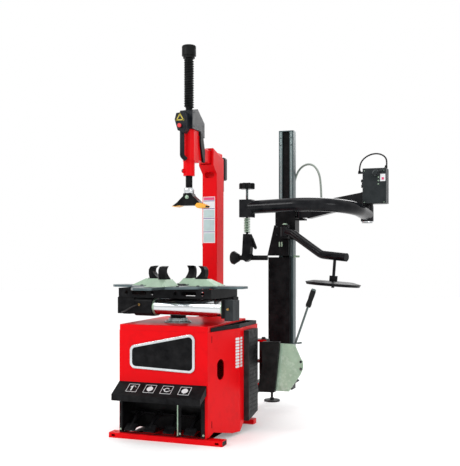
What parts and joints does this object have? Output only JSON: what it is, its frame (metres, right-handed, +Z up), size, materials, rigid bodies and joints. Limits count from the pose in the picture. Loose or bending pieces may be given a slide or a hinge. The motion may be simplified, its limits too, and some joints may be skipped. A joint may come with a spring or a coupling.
{
  "type": "tire changer machine",
  "caption": "Tilt-column tire changer: red cabinet with clamping turntable, side bead breaker, pedals and a right-hand helper arm with roller disc and press tool.",
  "frame": {"origin": "on the floor, under the turntable's axis, on the underside of the base plate", "axes": "+X to the machine's right, -Y to the front where the operator stands, +Z up"},
  "size_m": [1.4209, 1.5332, 2.134],
  "materials": {
    "red_paint": "gloss",
    "black_paint": "semi-gloss",
    "black_plastic": "matte",
    "rubber": "matte",
    "grey_rubber": "matte",
    "nameplate_trim": "gloss",
    "plated_steel": "satin",
    "bright_steel": "polished",
    "cast_iron": "rough"
  },
  "bodies": {
    "base": {"base_frame": "red_paint", "cabinet_shell": "red_paint", "cabinet_top": "red_paint", "side_tray": "black_plastic", "bead_pad": "rubber", "nameplate": "nameplate_trim", "pedal_hood": "black_paint", "pedal_bay": "black_paint", "shaft_bearing": "cast_iron", "gearbox": "cast_iron", "motor": "cast_iron", "column_bracket": "red_paint", "breaker_cylinder": "red_paint", "helper_base": "black_paint", "levelling_foot": "rubber", "mast": "plated_steel", "mast_cover": "black_paint"},
    "pedal_one": {"pedal_1": "black_paint"},
    "pedal_two": {"pedal_2": "black_paint"},
    "pedal_three": {"pedal_3": "black_paint"},
    "pedal_four": {"pedal_4": "black_paint"},
    "turntable": {"turntable_hub": "plated_steel", "turntable_plate": "plated_steel", "clamp_barrels": "bright_steel", "clamp_blocks": "black_paint"},
    "tilting_column": {"column": "red_paint"},
    "tool_arm": {"slide_arm": "red_paint", "arm_tail_cap": "black_plastic", "tool_head": "red_paint", "head_cover": "black_plastic"},
    "button": {"lock_button": "red_paint"},
    "tool": {"tool_shaft": "bright_steel", "mount_head": "bright_steel", "return_spring": "black_plastic", "shaft_cap": "black_plastic"},
    "breaker": {"breaker_arm": "black_paint", "breaker_blade": "plated_steel", "blade_guard": "black_plastic", "breaker_handle": "plated_steel"},
    "rod": {"breaker_rod": "bright_steel"},
    "carriage": {"carriage": "black_paint", "grey_hose": "grey_rubber"},
    "link": {"link_arm": "black_paint", "control_box": "black_plastic", "loop_hose": "rubber"},
    "valve_lever": {"control_lever": "bright_steel"},
    "reach": {"reach_arm": "black_paint"},
    "press": {"press_screw": "black_plastic", "press_spring": "plated_steel", "press_tool": "black_paint"},
    "lower": {"lower_arm": "black_paint"},
    "disc": {"roller_disc": "black_plastic"},
    "jaw_carrier_1": {"jaw_slide_1": "plated_steel", "jaw_1": "black_paint"},
    "jaw_carrier_2": {"jaw_slide_2": "plated_steel", "jaw_2": "black_paint"},
    "jaw_carrier_3": {"jaw_slide_3": "plated_steel", "jaw_3": "black_paint"},
    "jaw_carrier_4": {"jaw_slide_4": "plated_steel", "jaw_4": "black_paint"}
  },
  "joints": [
    {"name": "pedal_one_press", "type": "hinge", "parent": "base", "child": "pedal_one", "pos_m": [0, -0.095, 0.12], "axis": [1, 0, 0], "range_deg": [0, 9], "stiffness_Nm_per_rad": 8, "springref_deg": -11.46},
    {"name": "pedal_two_press", "type": "hinge", "parent": "base", "child": "pedal_two", "pos_m": [0, -0.095, 0.12], "axis": [1, 0, 0], "range_deg": [0, 9], "stiffness_Nm_per_rad": 8, "springref_deg": -11.46},
    {"name": "pedal_three_press", "type": "hinge", "parent": "base", "child": "pedal_three", "pos_m": [0, -0.095, 0.12], "axis": [1, 0, 0], "range_deg": [0, 9], "stiffness_Nm_per_rad": 8, "springref_deg": -11.46},
    {"name": "pedal_four_press", "type": "hinge", "parent": "base", "child": "pedal_four", "pos_m": [0, -0.095, 0.12], "axis": [1, 0, 0], "range_deg": [0, 9], "stiffness_Nm_per_rad": 8, "springref_deg": -11.46},
    {"name": "turntable_spin", "type": "hinge", "parent": "base", "child": "turntable", "pos_m": [0, 0, 0.7], "axis": [0, 0, 1], "continuous": true},
    {"name": "jaw_1_slide", "type": "slide", "parent": "turntable", "child": "jaw_carrier_1", "axis": [0.9945, -0.1045, 0], "range_m": [-0.02, 0.12]},
    {"name": "jaw_2_slide", "type": "slide", "parent": "turntable", "child": "jaw_carrier_2", "axis": [0.1045, 0.9945, 0], "range_m": [-0.02, 0.12]},
    {"name": "jaw_3_slide", "type": "slide", "parent": "turntable", "child": "jaw_carrier_3", "axis": [-0.9945, 0.1045, 0], "range_m": [-0.02, 0.12]},
    {"name": "jaw_4_slide", "type": "slide", "parent": "turntable", "child": "jaw_carrier_4", "axis": [-0.1045, -0.9945, 0], "range_m": [-0.02, 0.12]},
    {"name": "column_tilt", "type": "hinge", "parent": "base", "child": "tilting_column", "pos_m": [0, 0.56, 0.62], "axis": [-1, 0, 0], "range_deg": [0, 25]},
    {"name": "arm_slide", "type": "slide", "parent": "tilting_column", "child": "tool_arm", "axis": [0, 1, 0], "range_m": [0, 0.1]},
    {"name": "button_press", "type": "slide", "parent": "tool_arm", "child": "button", "axis": [0, 1, 0], "range_m": [0, 0.004], "stiffness_N_per_m": 400, "springref_m": -0.004},
    {"name": "tool_slide", "type": "slide", "parent": "tool_arm", "child": "tool", "axis": [0, 0, -1], "range_m": [0, 0.15], "stiffness_N_per_m": 300, "springref_m": -0.4, "deforming": ["return_spring"]},
    {"name": "breaker_swing", "type": "hinge", "parent": "base", "child": "breaker", "pos_m": [0.345, 0.44, 0.348], "axis": [0, 0, 1], "range_deg": [0, 30]},
    {"name": "breaker_rod_slide", "type": "slide", "parent": "base", "child": "rod", "axis": [-1, 0, 0], "range_m": [0, 0.048]},
    {"name": "carriage_slide", "type": "slide", "parent": "base", "child": "carriage", "axis": [0, 0, 1], "range_m": [-0.08, 0.35]},
    {"name": "link_swing", "type": "hinge", "parent": "carriage", "child": "link", "pos_m": [0.45, 0.885, 1.2375], "axis": [0, 0, 1], "range_deg": [-4, 75]},
    {"name": "valve_lever_turn", "type": "hinge", "parent": "link", "child": "valve_lever", "pos_m": [0.96, 0.626, 1.436], "axis": [0, 1, 0], "range_deg": [-20, 20], "stiffness_Nm_per_rad": 0.5},
    {"name": "reach_swing", "type": "hinge", "parent": "link", "child": "reach", "pos_m": [0.884, 0.777, 1.209], "axis": [0, 0, 1], "range_deg": [-4, 80]},
    {"name": "press_slide", "type": "slide", "parent": "reach", "child": "press", "axis": [0, 0, 1], "range_m": [0, 0.04], "deforming": ["press_spring"]},
    {"name": "lower_arm_swing", "type": "hinge", "parent": "carriage", "child": "lower", "pos_m": [0.375, 0.78, 1.11], "axis": [0, 0, 1], "range_deg": [-10, 45]},
    {"name": "disc_spin", "type": "hinge", "parent": "lower", "child": "disc", "pos_m": [0.706, 0.65, 0.795], "axis": [0.0688, 0.025, 0.9973], "continuous": true}
  ],
  "couplings": [
    {"joint": "jaw_2_slide", "follows": "jaw_1_slide", "ratio": 1},
    {"joint": "jaw_3_slide", "follows": "jaw_1_slide", "ratio": 1},
    {"joint": "jaw_4_slide", "follows": "jaw_1_slide", "ratio": 1},
    {"joint": "breaker_rod_slide", "follows": "breaker_swing", "m_per_rad": 0.09}
  ]
}
